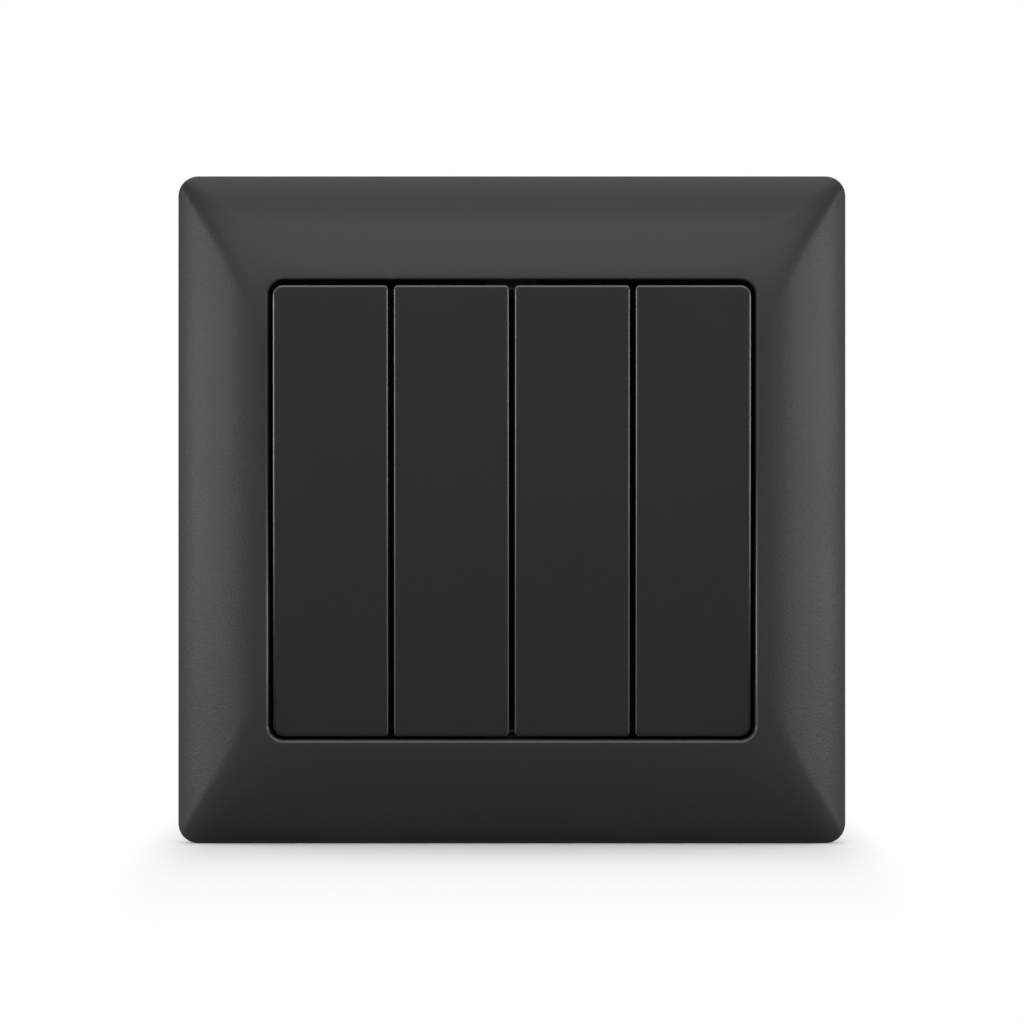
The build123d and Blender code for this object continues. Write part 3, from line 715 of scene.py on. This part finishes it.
def coil_shape(name, material):
    """A compression spring along +Z whose last turns lie flat."""
    tree, maker, size = new_shape(name, ("Length", "Radius", "Wire", "Turns", "Turn X"))

    def wave(operation, angle):
        return maker.node("ShaderNodeMath", {"operation": operation}, {0: angle})

    line = maker.node("GeometryNodeCurvePrimitiveLine", {}, {"End": (0.0, 0.0, 1.0)})
    line = maker.node("GeometryNodeResampleCurve", {}, {"Curve": line, "Count": COIL_POINTS})
    along = maker.node("GeometryNodeSplineParameter")
    angle = along * size["Turns"] * math.tau
    eased = along - wave("SINE", along * math.tau) * FLAT_ENDS
    rise = eased * (size["Length"] - size["Wire"]) + size["Wire"] * 0.5
    x, y = wave("COSINE", angle) * size["Radius"], wave("SINE", angle) * size["Radius"]
    place = maker.node("ShaderNodeCombineXYZ", {}, {"X": x, "Y": y, "Z": rise})
    helix = maker.node("GeometryNodeSetPosition", {}, {"Geometry": line, "Position": place})
    section = {"Resolution": WIRE_SIDES, "Radius": size["Wire"] * 0.5}
    section = maker.node("GeometryNodeCurvePrimitiveCircle", {}, section)
    sweep = {"Curve": helix, "Profile Curve": section, "Fill Caps": True}
    end_shape(maker, size, maker.node("GeometryNodeCurveToMesh", {}, sweep), material)
    return tree


# Settings

def length_property(name, description, default):
    return FloatProperty(name=name, description=description, default=default, unit="LENGTH", precision=5)


def share_property(name, description, default):
    return FloatProperty(name=name, description=description, default=default,
                         min=0.0, max=1.0, subtype="FACTOR")


def angle_property(name, description, degrees):
    return FloatProperty(name=name, description=description, default=math.radians(degrees), subtype="ANGLE")


def number_property(name, description, default):
    return FloatProperty(name=name, description=description, default=default, min=0.0)


def turns_property(name, description, default):
    return IntProperty(name=name, description=description, default=default, min=2)


def colour_property(name, description, default):
    return FloatVectorProperty(name=name, description=description, default=default,
                               size=3, min=0.0, max=1.0, subtype="COLOR")


class SwitchFinishes(bpy.types.PropertyGroup):
    """Colours and surfaces of the switch"""
    frame_black: colour_property("Frame Black", "Colour of the cover frame", (0.0145, 0.0145, 0.0148))
    key_black: colour_property("Key Black", "Colour of the keys", (0.0105, 0.0105, 0.0107))
    black_roughness: share_property("Black Roughness", "Roughness of the frame and the keys", 0.33)
    frame_specular: share_property("Frame Gloss", "Specular level of the frame", 0.2)
    key_specular: share_property("Key Gloss", "Specular level of the keys", 0.165)
    black_relief: length_property("Black Relief", "Depth of the eroded grain", 0.02 * MM)
    black_grain: length_property("Black Grain", "Size of the eroded grain of the black parts", 0.32 * MM)
    # The keys' edge gloss, and how far their edges' colour is painted lighter as a highlight
    key_gloss_and_highlight: share_property("Key Gloss and Highlight", "Sheen of the edges of the keys", 1.0)
    # The lip's gloss, and how far its colour is painted lighter as a highlight
    lip_gloss_and_highlight: share_property("Lip Gloss and Highlight", "Sheen of the lip of the cover frame", 0.25)
    carrier_black: colour_property("Carrier Black", "Colour of the rocker carrier", (0.004, 0.004, 0.004))
    base_grey: colour_property("Base Grey", "Colour of the base housing", (0.29, 0.3, 0.31))
    lid_grey: colour_property("Lid Grey", "Colour of the inner lid", (0.23, 0.24, 0.25))
    white: colour_property("Rocker White", "Colour of the rockers and plungers", (0.78, 0.77, 0.72))
    zinc: colour_property("Zinc", "Colour of the plated support plate", (0.5, 0.51, 0.53))
    steel: colour_property("Steel", "Colour of the screws, clamps and springs", (0.56, 0.56, 0.55))
    brass: colour_property("Brass", "Colour of the strips, the arms and the bus", (0.78, 0.56, 0.25))
    silver: colour_property("Silver", "Colour of the contacts", (0.86, 0.85, 0.82))


class SwitchFrame(bpy.types.PropertyGroup):
    """Sizes of the cover frame"""
    half: length_property("Half Size", "Middle of the frame to its outer wall", 41.0 * MM)
    corner: length_property("Corner", "Corner radius of the outer wall", 2.5 * MM)
    edge: length_property("Edge Height", "Height of the outer wall", 3.2 * MM)
    lip: length_property("Lip Height", "Height of the lip round the keys", 9.5 * MM)
    slope_edge: angle_property("Edge Slope", "Slope of the crowned face at the outer wall", 52.0)
    slope_lip: angle_property("Lip Slope", "Slope of the crowned face at the lip", 8.0)
    ridge_edge: length_property("Edge Ridge", "Radius of the corner ridges at the outer wall", 1.2 * MM)
    ridge_lip: length_property("Lip Ridge", "Radius of the corner ridges at the lip", 9.0 * MM)
    ridge_growth: number_property("Ridge Growth", "How late the corner ridges widen", 1.15)
    edge_round: length_property("Edge Round", "Round of the edge of the outer wall", 0.45 * MM)
    lip_round: length_property("Lip Round", "Round of the lip", 0.35 * MM)
    opening_x: length_property("Opening X", "Half the width of the opening", 29.73 * MM)
    opening_z: length_property("Opening Z", "Half the height of the opening", 28.135 * MM)
    opening_corner: length_property("Opening Corner", "Corner radius of the opening", 1.8 * MM)
    wall: length_property("Wall", "Thickness of the shell", 1.8 * MM)
    skirt: length_property("Skirt", "Thickness of the skirt round the opening", 1.4 * MM)
    skirt_back: length_property("Skirt Back", "Wall plane to the back of the skirt", 3.2 * MM)
    rib: length_property("Rib", "Thickness of a rib", 1.0 * MM)
    rib_spacing: length_property("Rib Spacing", "From one rib to the next", 34.0 * MM)
    hook_length: length_property("Hook Length", "Length of a hook along the skirt", 6.0 * MM)
    hook_spacing: length_property("Hook Spacing", "From one hook to the next", 32.0 * MM)
    hook_leg: length_property("Hook Leg", "Thickness of the leg of a hook", 1.15 * MM)
    hook_tooth: length_property("Hook Tooth", "Reach of the tooth of a hook", 2.3 * MM)
    hook_front: length_property("Hook Front", "Wall plane to the front of a tooth", 2.0 * MM)
    hook_back: length_property("Hook Back", "Wall plane to the back of a hook", 1.4 * MM)
    tab_reach: length_property("Tab Reach", "Reach of a tab that hides a box screw", 2.25 * MM)
    tab_width: length_property("Tab Width", "Width of a tab", 6.8 * MM)
    tab_front: length_property("Tab Front", "Wall plane to the front of a tab", 5.406 * MM)
    tab_back: length_property("Tab Back", "Wall plane to the back of a tab", 4.606 * MM)


class SwitchSizes(bpy.types.PropertyGroup):
    """Sizes of the screws and the springs"""
    terminal_radius: length_property("Terminal Radius", "Thread radius of a terminal screw", 1.5 * MM)
    terminal_head: length_property("Terminal Head", "Head height of a terminal screw", 1.9 * MM)
    terminal_slot: length_property("Terminal Slot", "Slot width of a terminal screw", 0.8 * MM)
    terminal_turns: turns_property("Terminal Turns", "Thread turns of a terminal screw", 12)
    assembly_radius: length_property("Assembly Radius", "Thread radius of an assembly screw", 1.0 * MM)
    assembly_head: length_property("Assembly Head", "Head height of an assembly screw", 1.2 * MM)
    assembly_slot: length_property("Assembly Slot", "Slot width of an assembly screw", 0.7 * MM)
    assembly_turns: turns_property("Assembly Turns", "Thread turns of an assembly screw", 14)
    spring_length: length_property("Spring Length", "Length of a plunger spring at rest", 5.2 * MM)
    spring_radius: length_property("Spring Radius", "Middle of the wire of a plunger spring", 1.2 * MM)
    spring_wire: length_property("Spring Wire", "Wire thickness of a plunger spring", 0.36 * MM)
    spring_turns: number_property("Spring Turns", "Turns of a plunger spring", 6.0)
    spring_lean: angle_property("Spring Lean", "Lean of a plunger spring at rest", 3.0)
    spring_inset: length_property("Spring Inset", "Front of a spring's box to its first turn", 0.06 * MM)


class SwitchStage(bpy.types.PropertyGroup):
    """Camera, floor and lamps"""
    camera_distance: length_property("Camera Distance", "From the wall plane to the camera", 1.0)
    camera_x: length_property("Camera X", "Camera to the right of the middle", 0.018 * MM)
    camera_z: length_property("Camera Z", "Camera above the middle", -0.277 * MM)
    scale_depth: length_property("Scale Depth", "From the wall plane to where the scale holds", 2.9 * MM)
    pixels_per_mm: number_property("Pixels per mm", "Scale at the frame's edge", 8.133)
    floor_drop: length_property("Floor Drop", "Floor below the lowest point", 0.01 * MM)
    # Reach of the painted glow that whitens the floor over the switch's shadow, beside and before it
    floor_side: length_property("Floor Side", "How far beside the switch the floor turns white", 0.011)
    floor_front: length_property("Floor Front", "How far before the switch the floor turns white", 0.25)
    side: number_property("Side", "Radiance of the side panels", 6.3)
    front: number_property("Front", "Radiance of the panel above the camera", 2.2)
    overhead: number_property("Overhead", "Radiance of the overhead panel", 1.4)
    rear: number_property("Rear", "Radiance of the panel behind the switch", 1.35)
    near: number_property("Near", "Radiance of the panel close above the front", 2.8)


# Switch

class SWITCH_OT_front(bpy.types.Operator):
    """Make the cover frame, and finish it and the four keys"""
    bl_idname = "switch.front"
    bl_label = "Cover Frame and Keys"

    def execute(self, context):
        finish = context.scene.switch_finishes
        look = (finish.black_roughness, finish.black_grain, finish.black_relief)
        frame_black = moulded("frame_black_moulded", finish.frame_black, *look,
                              specular=finish.frame_specular, edges=lip_edge, gloss_and_painted_highlight=finish.lip_gloss_and_highlight)
        crowned_frame(context.scene.switch_frame, frame_black)
        key_black = moulded("key_black_moulded", finish.key_black, *look,
                            specular=finish.key_specular, edges=key_edges, gloss_and_painted_highlight=finish.key_gloss_and_highlight)
        dress(key_black, *[f"key_{i}" for i in GANGS])
        return {"FINISHED"}


class SWITCH_OT_insert(bpy.types.Operator):
    """Finish the moulded insert behind the keys"""
    bl_idname = "switch.insert"
    bl_label = "Moulded Insert"

    def execute(self, context):
        finish = context.scene.switch_finishes
        carrier = moulded("carrier_black_moulded", finish.carrier_black,
                          roughness=0.7, grain=0.3 * MM, relief=0.006 * MM, specular=0.08)
        base = moulded("base_grey_moulded", finish.base_grey,
                       roughness=0.42, grain=0.25 * MM, relief=0.006 * MM)
        lid = moulded("lid_grey_moulded", finish.lid_grey,
                      roughness=0.45, grain=0.25 * MM, relief=0.006 * MM)
        white = moulded("rocker_white_moulded", finish.white,
                        roughness=0.35, grain=0.2 * MM, relief=0.003 * MM, mottle=0.05)
        dress(carrier, "rocker_carrier")
        dress(base, "base_housing")
        dress(lid, "inner_lid")
        dress(white, *[f"{part}_{i}" for i in GANGS for part in ("rocker", "plunger")])
        return {"FINISHED"}


class SWITCH_OT_metalwork(bpy.types.Operator):
    """Finish the plate, the strips, the contacts and the clamps"""
    bl_idname = "switch.metalwork"
    bl_label = "Metalwork"

    def execute(self, context):
        finish = context.scene.switch_finishes
        zinc = rolled_metal("zinc_plated", finish.zinc, roughness=0.36, streak=(1.0, 1.0, 0.05), tarnish=0.15)
        brass = rolled_metal("brass_rolled", finish.brass, roughness=0.3, streak=(0.06, 1.0, 1.0))
        silver = rolled_metal("silver_contact", finish.silver, roughness=0.25)
        steel = rolled_metal("clamp_steel", finish.steel, roughness=0.34, streak=(1.0, 1.0, 0.2))
        dress(zinc, "support_plate")
        dress(brass, "common_bus", *[f"{part}_{i}" for i in GANGS for part in ("load_strip", "contact_arm")])
        dress(silver, "fixed_contacts", *[f"contact_tip_{i}" for i in GANGS])
        dress(steel, "terminal_clamps")
        return {"FINISHED"}


class SWITCH_OT_screws(bpy.types.Operator):
    """Make the terminal screws and the assembly screws"""
    bl_idname = "switch.screws"
    bl_label = "Screws"

    def execute(self, context):
        size = context.scene.switch_sizes
        colour = context.scene.switch_finishes.steel
        steel = rolled_metal("screw_steel", colour, roughness=0.3, streak=(1.0, 0.25, 1.0))
        self.make("terminal_screws", steel, size.terminal_radius, size.terminal_head,
                  size.terminal_slot, size.terminal_turns, -1)
        self.make("assembly_screws", steel, size.assembly_radius, size.assembly_head,
                  size.assembly_slot, size.assembly_turns, 1)
        return {"FINISHED"}

    def make(self, node, material, radius, head, slot, turns, way):
        """Screws with their heads to the back, or to the room where way is 1."""
        boxes = solids_of(node)
        low, high = boxes[0]
        head_radius = (high.x - low.x) / 2
        tip = high.y if way > 0 else low.y
        points = [((a.x + b.x) / 2, tip, (a.z + b.z) / 2) for a, b in boxes]
        sizes = {"Length": high.y - low.y - head, "Radius": radius,
                 "Head Radius": head_radius, "Head Height": head,
                 "Slot Width": slot, "Slot Depth": head * SLOT_DEPTH,
                 "Cross Length": head_radius * CROSS_LENGTH, "Turn X": way * math.pi / 2}
        piece = grow(node + "_turned", screw_shape(node + "_shape", material, turns), sizes, points)
        place_piece(piece, "mechanism", "screw_steel", node)


class SWITCH_OT_springs(bpy.types.Operator):
    """Wind the plunger springs"""
    bl_idname = "switch.springs"
    bl_label = "Springs"

    def execute(self, context):
        size = context.scene.switch_sizes
        steel = rolled_metal("spring_steel", context.scene.switch_finishes.steel, roughness=0.3)
        tree = coil_shape("spring_shape", steel)
        sizes = {"Length": size.spring_length, "Radius": size.spring_radius, "Wire": size.spring_wire,
                 "Turns": size.spring_turns, "Turn X": size.spring_lean - math.pi / 2}
        for i in GANGS:
            low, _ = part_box(f"plunger_spring_{i}")
            pivot = next(j for j in frame["joints"] if j["name"] == f"key_{i}_rock")["pos_m"]
            start = low.y + size.spring_inset
            point = (pivot[0], start, (start - pivot[1]) * math.tan(size.spring_lean))
            piece = grow(f"plunger_spring_{i}_wound", tree, sizes, [point])
            place_piece(piece, f"gang_{i}", "spring_steel", f"plunger_spring_{i}")
        return {"FINISHED"}


# Stage

def beside(angle, distance):
    """A place beside the switch, at an angle from straight ahead."""
    turn = math.radians(angle)
    return (distance * math.sin(turn), -distance * math.cos(turn), 0.0)


def above(angle, distance):
    """A place above the switch, at an angle up from straight ahead."""
    turn = math.radians(angle)
    return (0.0, -distance * math.cos(turn), distance * math.sin(turn))


def add_panel(name, place, size, radiance):
    """A rectangular lamp of an even radiance that faces the switch."""
    lamp = bpy.data.lights.new(name, "AREA")
    lamp.shape = "RECTANGLE"
    lamp.size, lamp.size_y = size
    lamp.energy = radiance * math.pi * size[0] * size[1]
    panel = bpy.data.objects.new(name, lamp)
    panel.location = place
    panel.rotation_euler = (-Vector(place)).to_track_quat("-Z", "Y").to_euler()
    bpy.context.scene.collection.objects.link(panel)


def seen_directly(maker):
    """1 for rays from the camera, a gloss or a clear body, and 0 for other light."""
    camera, glossy, clear = [maker.node("ShaderNodeLightPath", {}, {}, f"Is {kind} Ray")
                             for kind in ("Camera", "Glossy", "Transmission")]
    return maker.node("ShaderNodeMath", {"operation": "MINIMUM"}, {0: camera + glossy + clear, 1: 1.0})


class SWITCH_OT_stage(bpy.types.Operator):
    """Set the floor, the lamps, the world and the camera"""
    bl_idname = "switch.stage"
    bl_label = "Studio"

    def execute(self, context):
        stage = context.scene.switch_stage
        self.add_floor(stage)
        self.add_lamps(stage)
        self.add_world()
        self.add_camera(stage)
        context.scene.view_settings.view_transform = "Standard"
        return {"FINISHED"}

    def add_floor(self, stage):
        bm = bmesh.new()
        bmesh.ops.create_grid(bm, x_segments=FLOOR_CELLS, y_segments=FLOOR_CELLS, size=FLOOR_HALF)
        bmesh.ops.translate(bm, verts=bm.verts, vec=(0.0, 0.0, CAD_BOX[0].z - stage.floor_drop))
        mesh = bpy.data.meshes.new("floor")
        bm.to_mesh(mesh)
        bm.free()
        mesh.materials.append(self.floor_finish(stage))
        floor = bpy.data.objects.new("floor", mesh)
        bpy.context.scene.collection.objects.link(floor)

    def floor_finish(self, stage):
        """A pale matt floor that turns to plain white away from the switch, by a painted glow that covers the
        switch's shadow beyond a set reach beside and before it.
        """
        material, maker, sockets = new_finish("pale_floor")
        cloud = object_noise(maker, FLOOR_CLOUD, BROAD_DETAIL)
        maker.feed(sockets["Base Color"], maker.mix(cloud, *FLOOR_TONES))
        sockets["Roughness"].default_value = FLOOR_ROUGHNESS
        sockets["Specular IOR Level"].default_value = 0.0
        # Painted light: a white glow fades in beside and before the switch and hides its shadow there
        x, y, _ = axes(maker, "Object")
        outside = larger(maker, size_of(maker, x) - (CAD_BOX[1].x - FLOOR_INSET), 0.0)
        aside, ahead = outside / stage.floor_side, y / stage.floor_front
        painted_glow_share = ease(maker, (aside * aside + ahead * ahead) ** 0.5, 0.0, 1.0)
        painted_glow = maker.node("ShaderNodeEmission", {}, {"Color": WHITE, "Strength": 1.0})
        output = next(n for n in maker.tree.nodes if n.type == "OUTPUT_MATERIAL")
        matt = Tie(maker, output.inputs["Surface"].links[0].from_socket)
        blend = {"Fac": painted_glow_share * seen_directly(maker), 1: matt, 2: painted_glow}
        maker.feed(output.inputs["Surface"], maker.node("ShaderNodeMixShader", {}, blend))
        return material

    def add_lamps(self, stage):
        angle, distance, size = SIDE_PANEL
        for side in (-1, 1):
            add_panel("side_panel", beside(angle * side, distance), size, stage.side)
        upper = (
            ("front_panel", FRONT_PANEL, stage.front),
            ("overhead_panel", OVERHEAD_PANEL, stage.overhead),
            ("rear_panel", REAR_PANEL, stage.rear),
        )
        for name, (angle, distance, size), radiance in upper:
            add_panel(name, above(angle, distance), size, radiance)
        add_panel("near_panel", NEAR_PLACE, NEAR_SIZE, stage.near)

    def add_world(self):
        """A world that is white to look at and lights nothing."""
        world = bpy.data.worlds.new("studio")
        bpy.context.scene.world = world
        world.use_nodes = True
        maker = Maker(world.node_tree)
        light = next(n for n in maker.tree.nodes if n.type == "BACKGROUND")
        light.inputs["Color"].default_value = WHITE
        maker.feed(light.inputs["Strength"], seen_directly(maker))

    def add_camera(self, stage):
        """A camera straight before the switch, its lens set by the photo's scale."""
        data = bpy.data.cameras.new("camera")
        data.sensor_width = SENSOR_WIDTH
        distance = stage.camera_distance - stage.scale_depth
        data.lens = stage.pixels_per_mm / MM * SENSOR_WIDTH * distance / IMAGE_PIXELS
        camera = bpy.data.objects.new("camera", data)
        camera.location = (stage.camera_x, -stage.camera_distance, stage.camera_z)
        camera.rotation_euler = (math.pi / 2, 0.0, 0.0)
        bpy.context.scene.collection.objects.link(camera)
        bpy.context.scene.camera = camera


class SWITCH_PT_panel(bpy.types.Panel):
    """Lists the steps that dress the switch, and their settings"""
    bl_idname = "SWITCH_PT_panel"
    bl_label = "Light Switch"
    bl_space_type = "VIEW_3D"
    bl_region_type = "UI"
    bl_category = "Switch"

    def draw(self, context):
        for step in STEPS:
            self.layout.operator(step.bl_idname)
        for group in SETTINGS:
            settings = getattr(context.scene, group)
            for name in settings.__annotations__:
                self.layout.prop(settings, name)


SETTINGS = {
    "switch_finishes": SwitchFinishes,
    "switch_frame": SwitchFrame,
    "switch_sizes": SwitchSizes,
    "switch_stage": SwitchStage,
}
STEPS = (
    SWITCH_OT_front,
    SWITCH_OT_insert,
    SWITCH_OT_metalwork,
    SWITCH_OT_screws,
    SWITCH_OT_springs,
    SWITCH_OT_stage,
)
CLASSES = (*SETTINGS.values(), *STEPS, SWITCH_PT_panel)


def register():
    for item in CLASSES:
        bpy.utils.register_class(item)
    for name, group in SETTINGS.items():
        setattr(bpy.types.Scene, name, PointerProperty(type=group))


def unregister():
    for name in SETTINGS:
        delattr(bpy.types.Scene, name)
    for item in reversed(CLASSES):
        bpy.utils.unregister_class(item)


def main():
    register()
    for step in STEPS:
        group, name = step.bl_idname.split(".")
        getattr(getattr(bpy.ops, group), name)()


if __name__ == "__main__":
    main()
